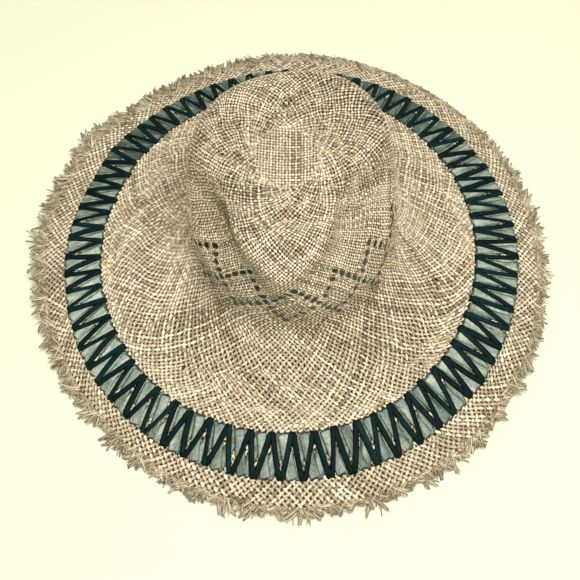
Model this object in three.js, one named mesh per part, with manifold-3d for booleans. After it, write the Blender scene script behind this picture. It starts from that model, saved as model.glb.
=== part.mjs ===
// Wide-brimmed woven straw hat with a teardrop crown, openwork diamonds, two zigzag ribbons and a frayed edge.
// Millimetres, +Z up, front towards -Y, resting on z = 0.

import * as THREE from 'three';
import { mergeVertices } from 'three/addons/utils/BufferGeometryUtils.js';
import Module from 'manifold-3d';

// Main sizes
const HALF_WIDTH = 86; // crown foot, across
const HALF_LENGTH = 104; // crown foot, front to back
const CROWN_HEIGHT = 106; // from the bend at the foot to the back rim
const BEND_RISE = 23.3; // the bend stands this far above the ribbon line
const RIBBON_LINE_HEIGHT = 14.2; // the outer ribbon line above the table
const RIBBON_LINE_RADIUS = 209.7; // outer turns of the zigzag
const RIBBON_BAND = 38; // outer turns to inner turns
const TIP_RADIUS = 240; // ends of the frayed straws
const FRAY = 13; // length of the frayed part
const FOOT_FILLET = 18; // the foot spreads this far into the brim
const WALL = 2; // woven straw, two strands thick
const GAP = 0.3; // between pieces that touch
const SEAT = 0.7; // ribbons lie this far above the brim's facets, since they span the edges between them

// Tip of the crown, where the weave begins, and middle of the crown's foot
const TIP_CENTRE = { x: -6, y: 9 };
const FOOT_CENTRE = { x: 0, y: 2 };

// Openwork
const DIAMONDS = 14;
const DIAMOND_RISE = 18; // half the height of a diamond
const SLITS_PER_SIDE = 2;
const SLIT_LENGTH = 8;
const SLIT_WIDTH = 2.8;

// Ribbons
const TURNS = 70;
const DARK_WIDTH = 4.2;
const DARK_THICKNESS = 1;
const PALE_WIDTH = 10;
const PALE_THICKNESS = 0.6;

// Frayed edge
const LOCKS = 72;
const LOCK_TIP = 0.46; // share of the pitch that a lock's end takes
const LOCK_LEAN = 0.2; // share of the pitch that its end moves sideways
const LOCK_SHORTEST = 0.78; // share of the frayed part
const LOCK_LONGEST = 1.08;
const LOCK_CLEARANCE = 0.15; // the other locks stay this far off the table
const RESTING_LOCKS = [10, 11, 12, 23, 24, 25, 46, 47, 48, 59, 60, 61];
const BACKING = 3.5; // width of the ring that holds the locks
const LOCK_END = 1.2; // thickness at a lock's end

// Fineness of the meshes
const ROUND = 48;
const CROWN_PLACES = [0, 0.8, 1.5, 1.9, 2.2, 2.6, 3.1, 3.8, 4.7, 5.8, 7]; // rings, the tip is 0 and the bend 7
const BRIM_PLACES = [7, 8.1, 9, 10, 11];

// One row for each 22.5 degrees, from the right side (+X) anticlockwise. Radii are shares of the half width,
// heights shares of the crown height; the wall column is a share of the foot outline.
const CROWN_COLUMNS = ['crestR', 'crestZ', 'shoulderR', 'shoulderZ', 'wall', 'wallZ', 'plateauZ'];
const CROWN_ROWS = [
  [0.767, 0.896, 0.93, 0.745, 0.995, 0.434, 0.86],
  [0.872, 0.925, 1.035, 0.783, 1.0, 0.472, 0.86],
  [0.884, 0.962, 1.07, 0.83, 1.0, 0.49, 0.86],
  [0.826, 0.99, 1.035, 0.868, 1.0, 0.509, 0.87],
  [0.755, 0.985, 0.975, 0.875, 1.0, 0.509, 0.88],
  [0.74, 0.978, 0.95, 0.865, 1.0, 0.509, 0.88],
  [0.767, 0.972, 0.93, 0.849, 1.01, 0.49, 0.88],
  [0.767, 0.934, 0.919, 0.811, 1.02, 0.472, 0.87],
  [0.721, 0.896, 0.895, 0.755, 1.03, 0.434, 0.85],
  [0.686, 0.858, 0.802, 0.679, 1.01, 0.396, 0.83],
  [0.709, 0.802, 0.779, 0.604, 0.95, 0.358, 0.8],
  [0.953, 0.736, 0.965, 0.547, 0.94, 0.377, 0.76],
  [1.128, 0.679, 1.221, 0.566, 0.975, 0.377, 0.74],
  [0.907, 0.717, 0.965, 0.566, 0.94, 0.358, 0.76],
  [0.616, 0.783, 0.721, 0.632, 0.91, 0.358, 0.79],
  [0.581, 0.84, 0.698, 0.717, 0.94, 0.415, 0.83],
];
const TIP_DIP = 0.8; // height of the tip as a share of the crown height
const PLATEAU_AT = 0.52; // the plateau ring as a share of the crest radius

// Waves of an outline: the cosine and the sine of each multiple of the direction, as shares of what waves,
// which is the radius for the two outlines, the band's width, and the bend's rise for heights.
const RIBBON_LINE_WAVES = [
  { times: 1, cos: -0.0057, sin: -0.0033 },
  { times: 2, cos: -0.0348, sin: 0.0081 },
];
const TIP_WAVES = [
  { times: 1, cos: -0.0083, sin: 0.0196 },
  { times: 2, cos: -0.0329, sin: 0 },
  { times: 3, cos: -0.0083, sin: 0.0038 },
  { times: 4, cos: 0.0013, sin: -0.0038 },
];
const BAND_WAVES = [{ times: 1, cos: 0.079, sin: 0.066 }];
const BRIM_HEIGHT_WAVES = [
  { times: 2, cos: 0.107, sin: 0 },
  { times: 4, cos: 0.064, sin: 0 },
];
// Local creases of the brim: direction and spread in degrees, rise at the ribbon line as a share of the bend's rise
const CREASES = [
  { at: 147, spread: 9, rise: 0.172 },
  { at: 163, spread: 9, rise: -0.086 },
  { at: 318, spread: 14, rise: 0.069 },
];
// Rings of the brim: share of the way out, droop as a share of the bend's rise, share of the waves
const BRIM_RINGS = {
  middle: { droop: 0.22, waves: 0.08 },
  inner: { droop: 0.52, waves: 0.34 },
  outer: { droop: 1, waves: 1 },
  edge: { droop: 1.24, waves: 1.37 },
  tip: { droop: 1.41, waves: 1.69 },
};
// Height of the openwork's middle row above the bend
const ROW_HEIGHT = 36.7;
const ROW_BACK_RISE = 4;
const ROW_SIDE_FALL = 5.2;

const TAU = Math.PI * 2;
const degrees = (a) => (a * Math.PI) / 180;

// Pseudo-random number in 0..1 for a whole number and a row
function noise(n, row) {
  const v = Math.sin(n * 127.1 + row * 311.7) * 43758.5453;
  return v - Math.floor(v);
}

function waves(list, dir) {
  let sum = 0;
  for (const w of list) {
    sum += w.cos * Math.cos(w.times * dir) + w.sin * Math.sin(w.times * dir);
  }
  return sum;
}

function cubic(p0, p1, p2, p3, f) {
  return p1 + 0.5 * f * (p2 - p0 + f * (2 * p0 - 5 * p1 + 4 * p2 - p3 + f * (3 * (p1 - p2) + p3 - p0)));
}

// Value of a column of the crown table in any direction
function crownValue(name, dir) {
  const column = CROWN_COLUMNS.indexOf(name);
  const n = CROWN_ROWS.length;
  const u = ((((dir / TAU) * n) % n) + n) % n;
  const i = Math.floor(u);
  const at = (k) => CROWN_ROWS[(i + k + n) % n][column];
  return cubic(at(-1), at(0), at(1), at(2), u - i);
}

function footRadius(dir) {
  const across = HALF_LENGTH * Math.cos(dir);
  const along = HALF_WIDTH * Math.sin(dir);
  return (HALF_WIDTH * HALF_LENGTH) / Math.hypot(across, along);
}

const ribbonLineRadius = (dir) => RIBBON_LINE_RADIUS * (1 + waves(RIBBON_LINE_WAVES, dir));
const bandWidth = (dir) => RIBBON_BAND * (1 + waves(BAND_WAVES, dir));
const tipRadius = (dir) => TIP_RADIUS * (1 + waves(TIP_WAVES, dir));

function creaseHeight(dir) {
  let sum = 0;
  for (const c of CREASES) {
    const away = Math.atan2(Math.sin(dir - degrees(c.at)), Math.cos(dir - degrees(c.at)));
    sum += c.rise * Math.exp(-((away / degrees(c.spread)) ** 2));
  }
  return sum;
}

function brimHeight(ring, dir) {
  const wave = BEND_RISE * (waves(BRIM_HEIGHT_WAVES, dir) + creaseHeight(dir));
  return RIBBON_LINE_HEIGHT + BEND_RISE * (1 - ring.droop) + wave * ring.waves;
}

// The thirteen rings that shape the hat, tip first: centre, radius and height in one direction
function shapeRings(dir) {
  const bend = RIBBON_LINE_HEIGHT + BEND_RISE;
  const foot = footRadius(dir);
  const crest = crownValue('crestR', dir) * HALF_WIDTH;
  const high = (name) => bend + crownValue(name, dir) * CROWN_HEIGHT;
  const line = ribbonLineRadius(dir);
  const inner = line - bandWidth(dir);
  const middle = { x: 0, y: 0 };
  return [
    [TIP_CENTRE, 0, bend + TIP_DIP * CROWN_HEIGHT],
    [TIP_CENTRE, crest * PLATEAU_AT, high('plateauZ')],
    [TIP_CENTRE, crest, high('crestZ')],
    [TIP_CENTRE, crownValue('shoulderR', dir) * HALF_WIDTH, high('shoulderZ')],
    [FOOT_CENTRE, foot * crownValue('wall', dir), high('wallZ')],
    [FOOT_CENTRE, foot, bend + 0.17 * CROWN_HEIGHT],
    [FOOT_CENTRE, foot + FOOT_FILLET / 3, bend + 0.05 * CROWN_HEIGHT],
    [FOOT_CENTRE, foot + FOOT_FILLET, bend],
    [middle, (foot + FOOT_FILLET + inner) / 2, brimHeight(BRIM_RINGS.middle, dir)],
    [middle, inner, brimHeight(BRIM_RINGS.inner, dir)],
    [middle, line, brimHeight(BRIM_RINGS.outer, dir)],
    [middle, tipRadius(dir) - FRAY, brimHeight(BRIM_RINGS.edge, dir)],
    [middle, tipRadius(dir), brimHeight(BRIM_RINGS.tip, dir)],
  ];
}
const AT = { tip: 0, crest: 2, shoulder: 3, wall: 4, bend: 7, inner: 9, outer: 10, edge: 11, end: 12 };

// Point of the hat's middle surface: a direction, and how far out along the rings
function surfacePoint(dir, along) {
  const rings = shapeRings(dir);
  const last = rings.length - 1;
  const place = (k) => {
    if (k < 0) {
      const [c, r, z] = shapeRings(dir + Math.PI)[-k];
      return [c.x - r * Math.cos(dir), c.y - r * Math.sin(dir), z];
    }
    if (k > last) {
      const a = place(last);
      const b = place(last - 1);
      return a.map((v, n) => 2 * v - b[n]);
    }
    const [c, r, z] = rings[k];
    return [c.x + r * Math.cos(dir), c.y + r * Math.sin(dir), z];
  };
  const i = Math.min(Math.max(Math.floor(along), 0), last - 1);
  const near = [place(i - 1), place(i), place(i + 1), place(i + 2)];
  const mix = (n) => cubic(near[0][n], near[1][n], near[2][n], near[3][n], along - i);
  return new THREE.Vector3(mix(0), mix(1), mix(2));
}

function surfaceNormal(dir, along) {
  if (along < 0.05) {
    const e = 0.05;
    const a = surfacePoint(0, e).sub(surfacePoint(Math.PI, e));
    const b = surfacePoint(Math.PI / 2, e).sub(surfacePoint(-Math.PI / 2, e));
    return a.cross(b).normalize();
  }
  const out = surfacePoint(dir, along + 0.02).sub(surfacePoint(dir, along - 0.02));
  const round = surfacePoint(dir + 0.01, along).sub(surfacePoint(dir - 0.01, along));
  return out.cross(round).normalize();
}

// Point raised above the middle surface
function raised(dir, along, height) {
  return surfacePoint(dir, along).addScaledVector(surfaceNormal(dir, along), height);
}

// Moves a place on the surface outwards by a length in mm
function moveAlong(dir, along, length) {
  const step = 0.02;
  const speed = surfacePoint(dir, along + step).distanceTo(surfacePoint(dir, along - step)) / (2 * step);
  return along + length / speed;
}

class Builder {
  constructor() {
    this.points = [];
    this.faces = [];
  }
  point(v) {
    this.points.push(v.x, v.y, v.z);
    return this.points.length / 3 - 1;
  }
  face(a, b, c) {
    this.faces.push(a, b, c);
  }
  quad(a, b, c, d) {
    this.face(a, b, c);
    this.face(a, c, d);
  }
  geometry() {
    const g = new THREE.BufferGeometry();
    g.setAttribute('position', new THREE.Float32BufferAttribute(this.points, 3));
    g.setIndex(this.faces);
    return g;
  }
}

// Wall between two stretches of the surface, with rings at the places in the list.
// A list that starts at the tip closes there.
function wallGeometry(places, trimStart, trimEnd) {
  const b = new Builder();
  const closed = places[0] === AT.tip;
  const sides = [1, -1].map((side) => {
    const rings = [];
    places.forEach((place, n) => {
      if (closed && n === 0) {
        rings.push([b.point(raised(0, 0, (side * WALL) / 2))]);
        return;
      }
      const ring = [];
      for (let k = 0; k < ROUND; k++) {
        const dir = (k / ROUND) * TAU;
        let at = place;
        if (n === 0) at = moveAlong(dir, place, trimStart);
        if (n === places.length - 1) at = moveAlong(dir, place, -trimEnd);
        ring.push(b.point(raised(dir, at, (side * WALL) / 2)));
      }
      rings.push(ring);
    });
    return rings;
  });
  sides.forEach((rings, under) => {
    const tri = under ? (p, q, r) => b.face(p, r, q) : (p, q, r) => b.face(p, q, r);
    for (let n = 0; n + 1 < rings.length; n++) {
      for (let k = 0; k < ROUND; k++) {
        const m = (k + 1) % ROUND;
        const near = rings[n];
        const far = rings[n + 1];
        if (near.length === 1) {
          tri(near[0], far[k], far[m]);
          continue;
        }
        tri(near[k], far[k], far[m]);
        tri(near[k], far[m], near[m]);
      }
    }
  });
  const [over, below] = sides;
  for (let k = 0; k < ROUND; k++) {
    const m = (k + 1) % ROUND;
    const last = over.length - 1;
    b.quad(over[last][k], below[last][k], below[last][m], over[last][m]);
    if (!closed) b.quad(over[0][m], below[0][m], below[0][k], over[0][k]);
  }
  return b.geometry();
}

// Place on the crown wall at a height above the bend
function placeAtHeight(dir, height) {
  let high = 2.3;
  let low = 6.9;
  for (let n = 0; n < 30; n++) {
    const at = (high + low) / 2;
    const z = surfacePoint(dir, at).z - RIBBON_LINE_HEIGHT - BEND_RISE;
    if (z > height) high = at;
    else low = at;
  }
  return (high + low) / 2;
}

const rowHeight = (dir) => ROW_HEIGHT + ROW_BACK_RISE * Math.sin(dir) - ROW_SIDE_FALL * Math.cos(2 * dir);

// Directions at equal steps of length round the openwork's middle row, from the front
function rowDirections(count) {
  const fine = 720;
  const start = -Math.PI / 2;
  const lengths = [0];
  let before = null;
  for (let n = 0; n <= fine; n++) {
    const dir = start + (n / fine) * TAU;
    const here = surfacePoint(dir, placeAtHeight(dir, rowHeight(dir)));
    if (before) lengths.push(lengths[n - 1] + here.distanceTo(before));
    before = here;
  }
  const whole = lengths[fine];
  const direction = (share) => {
    const turn = Math.floor(share / count);
    const target = ((share / count) - turn) * whole;
    let n = 1;
    while (n < fine && lengths[n] < target) n++;
    const part = (target - lengths[n - 1]) / (lengths[n] - lengths[n - 1]);
    return start + (turn + (n - 1 + part) / fine) * TAU;
  };
  return { direction, step: whole / count };
}

// Openwork cutters: lozenges along the four sides of each diamond, driven through the wall
function openworkCutters() {
  const b = new Builder();
  const row = rowDirections(DIAMONDS);
  const half = row.step / 2;
  const onWall = (u, v) => {
    const dir = row.direction(u / row.step);
    const at = moveAlong(dir, placeAtHeight(dir, rowHeight(dir)), -v);
    return { dir, at };
  };
  const sideLength = Math.hypot(half, DIAMOND_RISE);
  for (let d = 0; d < DIAMONDS; d++) {
    for (const [h, v] of [[1, 1], [-1, 1], [-1, -1], [1, -1]]) {
      for (let n = 0; n < SLITS_PER_SIDE; n++) {
        const t = (n + 0.5) / SLITS_PER_SIDE;
        const along = [(h * half) / sideLength, (-v * DIAMOND_RISE) / sideLength];
        const u0 = d * row.step + h * half * t;
        const v0 = v * DIAMOND_RISE * (1 - t);
        const corner = (a, c) => {
          const w = onWall(u0 + along[0] * a - along[1] * c, v0 + along[1] * a + along[0] * c);
          return surfacePoint(w.dir, w.at);
        };
        const centre = onWall(u0, v0);
        const normal = surfaceNormal(centre.dir, centre.at);
        const corners = [
          corner(SLIT_LENGTH / 2, 0),
          corner(0, SLIT_WIDTH / 2),
          corner(-SLIT_LENGTH / 2, 0),
          corner(0, -SLIT_WIDTH / 2),
        ];
        addPrism(b, corners, normal, WALL * 2);
      }
    }
  }
  return b.geometry();
}

// Prism through a loop of points, both ways along a direction, faces outwards
function addPrism(b, loop, normal, reach) {
  const a = new THREE.Vector3().subVectors(loop[1], loop[0]);
  const c = new THREE.Vector3().subVectors(loop[2], loop[0]);
  const ordered = a.cross(c).dot(normal) > 0 ? loop : [...loop].reverse();
  const top = ordered.map((p) => b.point(p.clone().addScaledVector(normal, reach)));
  const low = ordered.map((p) => b.point(p.clone().addScaledVector(normal, -reach)));
  const n = loop.length;
  for (let k = 1; k + 1 < n; k++) {
    b.face(top[0], top[k], top[k + 1]);
    b.face(low[0], low[k + 1], low[k]);
  }
  for (let k = 0; k < n; k++) {
    const m = (k + 1) % n;
    b.quad(low[k], low[m], top[m], top[k]);
  }
}

// Place on the brim at a share of the way from the inner turns to the outer turns
function ribbonPlace(share) {
  return AT.inner + share;
}

// Point above the brim's flat facets, so that what lies on the brim keeps an even gap
function aboveBrim(dir, along, height) {
  const turn = (dir / TAU) * ROUND;
  const k = Math.floor(turn);
  let n = 0;
  while (n + 2 < BRIM_PLACES.length && BRIM_PLACES[n + 1] < along) n++;
  const part = (along - BRIM_PLACES[n]) / (BRIM_PLACES[n + 1] - BRIM_PLACES[n]);
  const corner = (i, j) => raised(((k + i) / ROUND) * TAU, BRIM_PLACES[n + j], WALL / 2);
  const near = corner(0, 0).lerp(corner(1, 0), turn - k);
  const far = corner(0, 1).lerp(corner(1, 1), turn - k);
  return near.lerp(far, part).addScaledVector(surfaceNormal(dir, along), height);
}

// Dark ribbon: one band that turns at the outer and the inner line
function darkRibbonGeometry() {
  const b = new Builder();
  const lift = SEAT + PALE_THICKNESS + GAP * 2;
  const count = TURNS * 2;
  const sections = [];
  for (let k = 0; k < count; k++) {
    const dir = (k / count) * TAU;
    const share = k % 2 ? 0 : 1;
    const here = surfacePoint(dir, ribbonPlace(share));
    const next = surfacePoint(((k + 1) / count) * TAU, ribbonPlace(1 - share));
    const leg = here.distanceTo(next);
    const halfStep = surfacePoint(((k + 1) / count) * TAU, ribbonPlace(share)).distanceTo(here);
    const miter = (DARK_WIDTH / 2) * (leg / halfStep) * 0.62;
    const end = share ? 1 : -1;
    const inside = moveAlong(dir, ribbonPlace(share), -end * miter);
    const outside = moveAlong(dir, ribbonPlace(share), end * DARK_WIDTH * 0.3);
    const widen = (DARK_WIDTH * 0.52) / here.length();
    sections.push({ dir, inside, outside, widen, end });
  }
  // Each turn: a blunt end two points wide, and one point at the inside of the turn
  const rows = sections.map((s) => {
    const make = (height) => ({
      left: b.point(aboveBrim(s.dir - s.widen, s.outside, height)),
      right: b.point(aboveBrim(s.dir + s.widen, s.outside, height)),
      crook: b.point(aboveBrim(s.dir, s.inside, height)),
    });
    return { top: make(lift + DARK_THICKNESS), low: make(lift), end: s.end };
  });
  for (let k = 0; k < count; k++) {
    const here = rows[k];
    const next = rows[(k + 1) % count];
    const flip = here.end < 0;
    const tri = (p, q, r) => (flip ? b.face(p, q, r) : b.face(p, r, q));
    const side = (p, q) => (flip ? b.quad(p.low, q.low, q.top, p.top) : b.quad(p.top, q.top, q.low, p.low));
    const pair = (row, name) => ({ top: row.top[name], low: row.low[name] });
    tri(here.top.left, here.top.crook, here.top.right);
    tri(here.low.left, here.low.right, here.low.crook);
    tri(here.top.right, here.top.crook, next.top.left);
    tri(here.top.right, next.top.left, next.top.crook);
    tri(here.low.right, next.low.left, here.low.crook);
    tri(here.low.right, next.low.crook, next.low.left);
    side(pair(here, 'crook'), pair(next, 'left'));
    side(pair(next, 'crook'), pair(here, 'right'));
    side(pair(here, 'right'), pair(here, 'left'));
  }
  return b.geometry();
}

// Pale ribbon: its legs overlap into one band, notched where the dark ribbon turns
function paleRibbonGeometry() {
  const b = new Builder();
  const lift = SEAT;
  const period = TAU / TURNS;
  const legRun = (TAU * (RIBBON_LINE_RADIUS - RIBBON_BAND / 2)) / TURNS / 2;
  const spread = (PALE_WIDTH / 2) * (Math.hypot(legRun, RIBBON_BAND) / RIBBON_BAND);
  const notchHalf = (legRun - spread) / legRun; // share of the half period that a notch takes
  const depth = spread / legRun; // share of the way where a notch ends
  const rows = [];
  for (let k = 0; k < TURNS; k++) {
    const dir = k * period;
    const make = (height) => {
      const at = (halves, share) => b.point(aboveBrim(dir + (halves * period) / 2, ribbonPlace(share), height));
      return {
        outLeft: at(-notchHalf, 0.97),
        notch: at(0, depth),
        outRight: at(notchHalf, 0.97),
        inLeft: at(1 - notchHalf, 0.03),
        innerNotch: at(1, 1 - depth),
        inRight: at(1 + notchHalf, 0.03),
      };
    };
    rows.push({ top: make(lift + PALE_THICKNESS), low: make(lift) });
  }
  for (let k = 0; k < TURNS; k++) {
    const here = rows[k];
    const next = rows[(k + 1) % TURNS];
    const before = rows[(k + TURNS - 1) % TURNS];
    for (const level of ['top', 'low']) {
      const h = here[level];
      const n = next[level];
      const p = before[level];
      const tri = level === 'top' ? (x, y, z) => b.face(x, y, z) : (x, y, z) => b.face(x, z, y);
      tri(h.notch, h.outRight, h.innerNotch);
      tri(h.outRight, n.outLeft, h.innerNotch);
      tri(n.outLeft, n.notch, h.innerNotch);
      tri(h.inLeft, h.notch, h.innerNotch);
      tri(p.inRight, h.notch, h.inLeft);
      tri(p.innerNotch, h.notch, p.inRight);
    }
    const edge = (x, y) => b.quad(x[1], y[1], y[0], x[0]);
    const pair = (row, name) => [row.top[name], row.low[name]];
    edge(pair(here, 'outLeft'), pair(here, 'notch'));
    edge(pair(here, 'notch'), pair(here, 'outRight'));
    edge(pair(here, 'outRight'), pair(next, 'outLeft'));
    edge(pair(here, 'innerNotch'), pair(here, 'inLeft'));
    edge(pair(here, 'inRight'), pair(here, 'innerNotch'));
    edge(pair(here, 'inLeft'), pair(before, 'inRight'));
  }
  return b.geometry();
}

// Frayed edge: tapering locks of straw on a backing ring. The resting locks lie flat on the table.
function fringeGeometry() {
  const b = new Builder();
  const pitch = TAU / LOCKS;
  const cells = [];
  for (let k = 0; k < LOCKS; k++) {
    const dir = k * pitch;
    const middle = dir + pitch / 2 + (noise(k, 1) - 0.5) * 2 * LOCK_LEAN * pitch;
    const end = AT.edge + LOCK_SHORTEST + (LOCK_LONGEST - LOCK_SHORTEST) * noise(k, 2);
    const rests = RESTING_LOCKS.includes(k);
    const restsBeside = rests || RESTING_LOCKS.includes((k + LOCKS - 1) % LOCKS);
    const level = (p, thickness, flat) => {
      const low = flat ? 0 : Math.max(p.z - thickness / 2, LOCK_CLEARANCE);
      const high = Math.max(p.z + thickness / 2, low + thickness);
      return [b.point(new THREE.Vector3(p.x, p.y, high)), b.point(new THREE.Vector3(p.x, p.y, low))];
    };
    const start = moveAlong(dir, AT.edge, GAP / 2);
    const root = moveAlong(dir, AT.edge, BACKING);
    const half = (LOCK_TIP * pitch) / 2;
    cells.push({
      inner: [b.point(raised(dir, start, WALL / 2)), b.point(raised(dir, start, -WALL / 2))],
      root: level(surfacePoint(dir, root), WALL, restsBeside),
      left: level(surfacePoint(middle - half, end), LOCK_END, rests),
      right: level(surfacePoint(middle + half, end), LOCK_END, rests),
    });
  }
  const plate = (p, q, r, s) => {
    b.quad(p[0], q[0], r[0], s[0]);
    b.quad(s[1], r[1], q[1], p[1]);
  };
  const edge = (p, q) => b.quad(p[0], p[1], q[1], q[0]);
  for (let k = 0; k < LOCKS; k++) {
    const c = cells[k];
    const n = cells[(k + 1) % LOCKS];
    plate(c.inner, c.root, n.root, n.inner);
    plate(c.root, c.left, c.right, n.root);
    edge(c.root, c.left);
    edge(c.left, c.right);
    edge(c.right, n.root);
    edge(n.inner, c.inner);
  }
  return b.geometry();
}

const wasm = await Module();
wasm.setup();

function toManifold(geometry) {
  const g = geometry.clone();
  g.deleteAttribute('normal');
  g.deleteAttribute('uv');
  const merged = mergeVertices(g, 1e-5);
  return new wasm.Manifold(
    new wasm.Mesh({
      numProp: 3,
      vertProperties: new Float32Array(merged.attributes.position.array),
      triVerts: new Uint32Array(merged.index.array),
    }),
  );
}

function fromManifold(solid) {
  const mesh = solid.getMesh();
  const g = new THREE.BufferGeometry();
  g.setAttribute('position', new THREE.Float32BufferAttribute(mesh.vertProperties, 3));
  g.setIndex(Array.from(mesh.triVerts));
  return g;
}

const straw = new THREE.MeshStandardMaterial({ color: 0xbead8c, roughness: 0.72, metalness: 0 });
const bareStraw = new THREE.MeshStandardMaterial({ color: 0xb0a07e, roughness: 0.75, metalness: 0 });
const petrol = new THREE.MeshStandardMaterial({ color: 0x0e3038, roughness: 0.62, metalness: 0 });
const seaGreen = new THREE.MeshStandardMaterial({ color: 0x9fb8ab, roughness: 0.55, metalness: 0 });

const solidCrown = toManifold(wallGeometry(CROWN_PLACES, 0, GAP / 2));
const crown = fromManifold(solidCrown.subtract(toManifold(openworkCutters())));

const pieces = [
  ['crown', crown, straw],
  ['brim', wallGeometry(BRIM_PLACES, GAP / 2, GAP / 2), straw],
  ['straw_fringe', fringeGeometry(), bareStraw],
  ['pale_ribbon', paleRibbonGeometry(), seaGreen],
  ['zigzag_ribbon', darkRibbonGeometry(), petrol],
];

const hat = new THREE.Group();
hat.name = 'straw_hat';
for (const [name, geometry, material] of pieces) {
  geometry.computeVertexNormals();
  const mesh = new THREE.Mesh(geometry, material);
  mesh.name = name;
  hat.add(mesh);
}

// The origin is the middle of the hat's box, on the table
const box = new THREE.Box3().setFromObject(hat);
const shift = box.getCenter(new THREE.Vector3());
for (const mesh of hat.children) {
  mesh.geometry.translate(-shift.x, -shift.y, -box.min.z);
}

export default hat;
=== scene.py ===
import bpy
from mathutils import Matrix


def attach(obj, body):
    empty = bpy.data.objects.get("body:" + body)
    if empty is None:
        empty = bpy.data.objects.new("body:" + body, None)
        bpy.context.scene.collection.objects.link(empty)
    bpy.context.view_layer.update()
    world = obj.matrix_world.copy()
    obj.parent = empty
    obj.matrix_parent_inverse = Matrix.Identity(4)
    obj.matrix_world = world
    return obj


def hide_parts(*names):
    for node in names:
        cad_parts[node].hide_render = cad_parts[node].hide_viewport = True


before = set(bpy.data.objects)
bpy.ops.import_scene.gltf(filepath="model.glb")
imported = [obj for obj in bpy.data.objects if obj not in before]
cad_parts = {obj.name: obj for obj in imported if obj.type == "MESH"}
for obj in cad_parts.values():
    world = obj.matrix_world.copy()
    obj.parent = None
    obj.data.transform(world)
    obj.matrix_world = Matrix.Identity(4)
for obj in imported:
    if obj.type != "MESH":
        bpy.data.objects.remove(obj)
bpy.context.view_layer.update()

import math

import bpy
import numpy as np
from mathutils import Vector

TAU = 2 * math.pi
rng = np.random.default_rng(7)

# Main sizes in mm, the same as the solid hat's
HALF_WIDTH = 86.0
HALF_LENGTH = 104.0
CROWN_HEIGHT = 106.0
BEND_RISE = 23.3
RIBBON_LINE_HEIGHT = 14.2
RIBBON_LINE_RADIUS = 209.7
RIBBON_BAND = 38.0
TIP_RADIUS = 240.0
FRAY = 13.0
FOOT_FILLET = 18.0
TIP_CENTRE = (-6.0, 9.0)
FOOT_CENTRE = (0.0, 2.0)
BOX_CENTRE = (-4.0462, 2.7779)  # middle of the solid hat's box, which is the frame's origin

# Rows for each 22.5 degrees from the right side, anticlockwise, as shares of the main sizes
CROWN_COLUMNS = ["crest_r", "crest_z", "shoulder_r", "shoulder_z", "wall", "wall_z", "plateau_z"]
CROWN_ROWS = np.array(
    [
        [0.767, 0.896, 0.93, 0.745, 0.995, 0.434, 0.86],
        [0.872, 0.925, 1.035, 0.783, 1.0, 0.472, 0.86],
        [0.884, 0.962, 1.07, 0.83, 1.0, 0.49, 0.86],
        [0.826, 0.99, 1.035, 0.868, 1.0, 0.509, 0.87],
        [0.755, 0.985, 0.975, 0.875, 1.0, 0.509, 0.88],
        [0.74, 0.978, 0.95, 0.865, 1.0, 0.509, 0.88],
        [0.767, 0.972, 0.93, 0.849, 1.01, 0.49, 0.88],
        [0.767, 0.934, 0.919, 0.811, 1.02, 0.472, 0.87],
        [0.721, 0.896, 0.895, 0.755, 1.03, 0.434, 0.85],
        [0.686, 0.858, 0.802, 0.679, 1.01, 0.396, 0.83],
        [0.709, 0.802, 0.779, 0.604, 0.95, 0.358, 0.8],
        [0.953, 0.736, 0.965, 0.547, 0.94, 0.377, 0.76],
        [1.128, 0.679, 1.221, 0.566, 0.975, 0.377, 0.74],
        [0.907, 0.717, 0.965, 0.566, 0.94, 0.358, 0.76],
        [0.616, 0.783, 0.721, 0.632, 0.91, 0.358, 0.79],
        [0.581, 0.84, 0.698, 0.717, 0.94, 0.415, 0.83],
    ]
)
TIP_DIP = 0.8  # height of the top's middle, as a share of the crown's height
PLATEAU_AT = 0.52  # the plateau's ring lies at this share of the way out to the crest
FOOT_RINGS = (0.17, 0.05)  # heights of the two rings above the bend, as shares of the crown's height

# Waves of an outline: (times round, cosine part, sine part), as shares of what waves
RIBBON_LINE_WAVES = [(1, -0.0057, -0.0033), (2, -0.0348, 0.0081)]
TIP_WAVES = [(1, -0.0083, 0.0196), (2, -0.0329, 0.0), (3, -0.0083, 0.0038), (4, 0.0013, -0.0038)]
BAND_WAVES = [(1, 0.079, 0.066)]
BRIM_HEIGHT_WAVES = [(2, 0.107, 0.0), (4, 0.064, 0.0)]
CREASES = [(147, 9, 0.172), (163, 9, -0.086), (318, 14, 0.069)]  # direction, spread, rise
# How far each ring of the brim droops, and its share of the waves and creases
BRIM_RINGS = {
    "middle": (0.22, 0.08),
    "inner": (0.52, 0.34),
    "outer": (1.0, 1.0),
    "edge": (1.24, 1.37),
    "end": (1.41, 1.69),
}
BEND, INNER, OUTER, EDGE, END = 7, 9, 10, 11, 12  # ring places, counted from the tip

# The weave: from this far from the tip, so many strands in each of its two directions
CROWN_STRANDS = [(25 + 2.1 * n, 44 + 4 * n) for n in range(32)]
BRIM_STRANDS = [(196 + 3.6 * n, 172 + 4 * n) for n in range(23)]
STRAND_ROWS = CROWN_STRANDS + BRIM_STRANDS
STRAND_JOINS_OVER = 14.0  # a new strand takes its full room after this length
STRAND_FIRST_ROOM = 0.35  # its share of that room where it starts
SLANT_ZONE = (100, 160)  # between these lengths strands run round the hat faster
SLANT = 1.16  # so many times as fast
SLANT_BLEND = 17  # mm over which that changes
STRAND_WIDTH_SHARE = 0.6  # of the pitch
STRAND_WIDTH_BASE = 0.84
STRAND_WIDTHS = (1.9, 3.2)  # least and most
STRAND_DRIFT = 0.4
STRAND_JITTER = 0.13
STRAND_SWING = 0.5  # a strand rises and dips this much at each crossing
STRAND_THICKNESS = 0.8
CROWN_EXTRA = 0.12  # the crown's strands lie closer than the brim's
PATCH_PITCH = 2.45
PATCH_HALF = 27.5
PATCH_LINES = 11  # strands on each side of the middle one
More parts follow.
